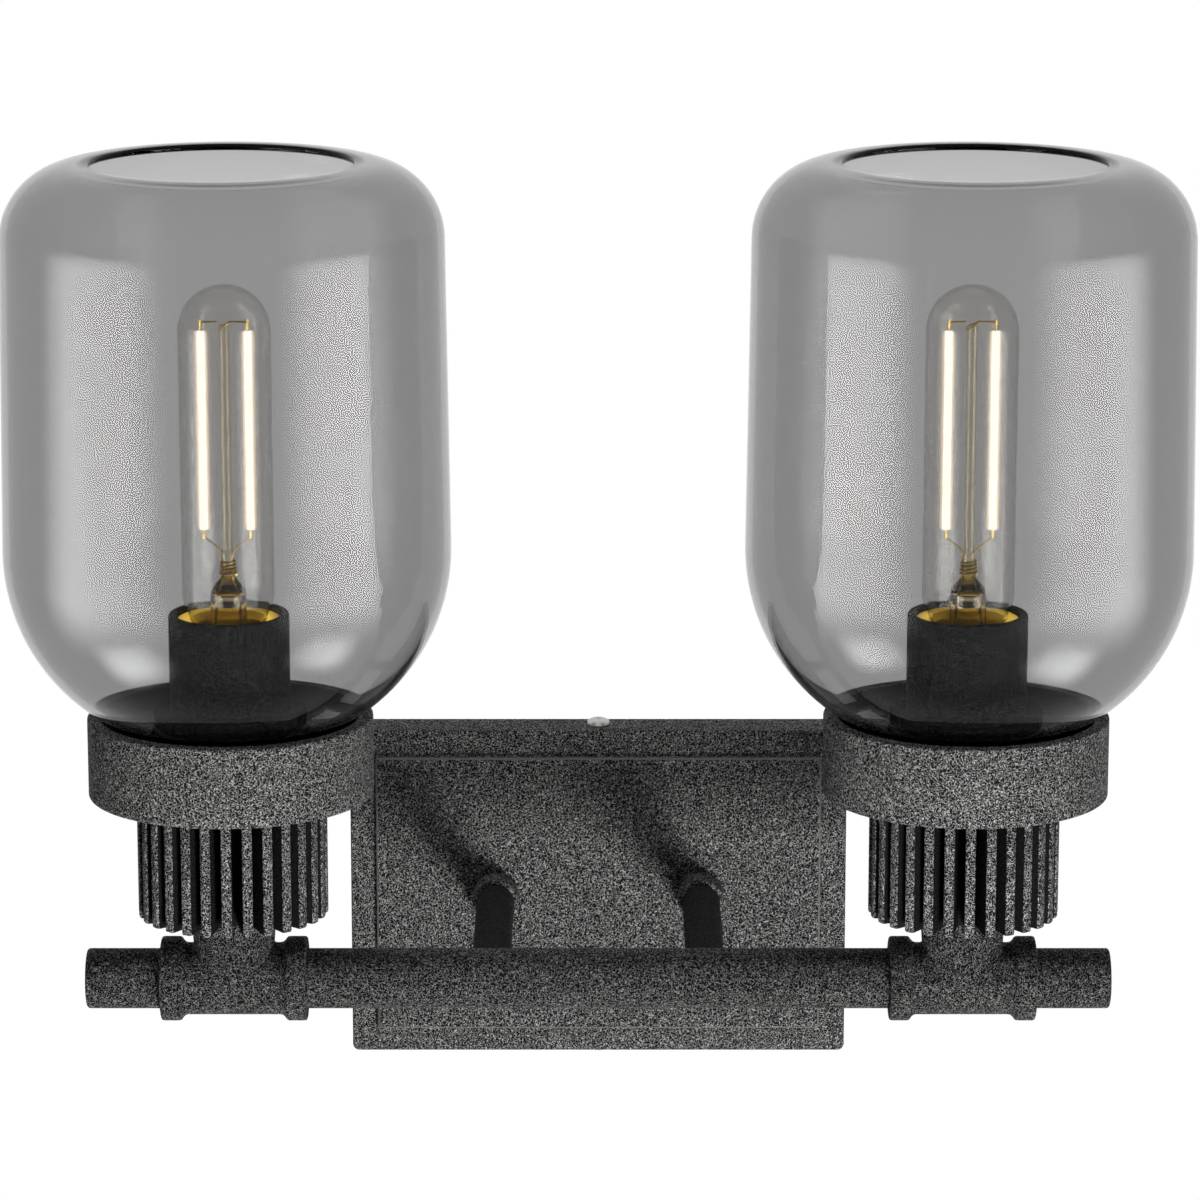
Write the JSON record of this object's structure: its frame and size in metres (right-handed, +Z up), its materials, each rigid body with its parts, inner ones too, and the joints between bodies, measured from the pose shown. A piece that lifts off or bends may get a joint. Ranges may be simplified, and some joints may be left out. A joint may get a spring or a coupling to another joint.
{
  "type": "vanity light",
  "caption": "Wall vanity light made of iron pipe and tees, with finned lamp necks, cups and smoked glass shades open at the top.",
  "frame": {"origin": "middle of the back plate, in the plane of the wall, at the centre of the two fixing slots", "axes": "+Y into the wall, so the lamp stands out along -Y; +Z up; +X to the right when the lamp is seen from the room"},
  "size_m": [0.4074, 0.2017, 0.3509],
  "materials": {
    "black_textured_metal": "fine-textured black powder coat",
    "satin_black_sleeve": "satin black paint",
    "zinc_steel": "zinc-plated steel",
    "bright_steel": "bright nickel-plated steel",
    "green_screw": "green earth screw",
    "smoked_glass": "smoked grey glass",
    "clear_glass": "clear glass with a faint amber tint",
    "stem_glass": "clear glass",
    "brass": "plain brass",
    "porcelain": "glazed white porcelain",
    "black_phenolic": "moulded black phenolic",
    "silicone": "grey silicone",
    "filament": "phosphor-coated filament"
  },
  "bodies": {
    "lamp_body": {"canopy": "black_textured_metal", "wall_bracket": "zinc_steel", "canopy_screws": "bright_steel", "ground_screw": "green_screw", "arm_left": "black_textured_metal", "arm_right": "black_textured_metal", "arm_ferrule_left": "black_textured_metal", "arm_ferrule_right": "black_textured_metal", "arm_nut_left": "zinc_steel", "arm_nut_right": "zinc_steel", "centre_pipe": "black_textured_metal", "end_pipe_left": "black_textured_metal", "end_pipe_right": "black_textured_metal", "tee_left": "black_textured_metal", "tee_right": "black_textured_metal", "neck_left": "black_textured_metal", "neck_right": "black_textured_metal", "cup_left": "black_textured_metal", "cup_right": "black_textured_metal", "gasket_left": "silicone", "gasket_right": "silicone", "sleeve_left": "satin_black_sleeve", "sleeve_right": "satin_black_sleeve", "nipple_left": "zinc_steel", "nipple_right": "zinc_steel", "nipple_nuts_left": "zinc_steel", "nipple_nuts_right": "zinc_steel", "lampholder_left": "porcelain", "lampholder_right": "porcelain", "screw_shell_left": "brass", "screw_shell_right": "brass", "contact_left": "brass", "contact_right": "brass"},
    "left_shade": {"shade_left": "smoked_glass"},
    "left_shade_ring": {"shade_ring_left": "black_phenolic"},
    "left_bulb": {"bulb_glass_left": "clear_glass", "bulb_cap_left": "brass", "bulb_stem_left": "stem_glass", "filaments_left": "filament"},
    "right_shade": {"shade_right": "smoked_glass"},
    "right_shade_ring": {"shade_ring_right": "black_phenolic"},
    "right_bulb": {"bulb_glass_right": "clear_glass", "bulb_cap_right": "brass", "bulb_stem_right": "stem_glass", "filaments_right": "filament"}
  },
  "joints": [
    {"name": "left_bulb_lift", "type": "slide", "parent": "lamp_body", "child": "left_bulb", "axis": [0, 0, 1], "range_m": [0, 0.19]},
    {"name": "left_shade_lift", "type": "slide", "parent": "lamp_body", "child": "left_shade", "axis": [0, 0, 1], "range_m": [0, 0.17]},
    {"name": "left_ring_turn", "type": "hinge", "parent": "left_shade", "child": "left_shade_ring", "pos_m": [-0.127, -0.125, 0.092], "axis": [0, 0, 1], "range_deg": [0, 540]},
    {"name": "right_bulb_lift", "type": "slide", "parent": "lamp_body", "child": "right_bulb", "axis": [0, 0, 1], "range_m": [0, 0.19]},
    {"name": "right_shade_lift", "type": "slide", "parent": "lamp_body", "child": "right_shade", "axis": [0, 0, 1], "range_m": [0, 0.17]},
    {"name": "right_ring_turn", "type": "hinge", "parent": "right_shade", "child": "right_shade_ring", "pos_m": [0.127, -0.125, 0.092], "axis": [0, 0, 1], "range_deg": [0, 540]}
  ]
}
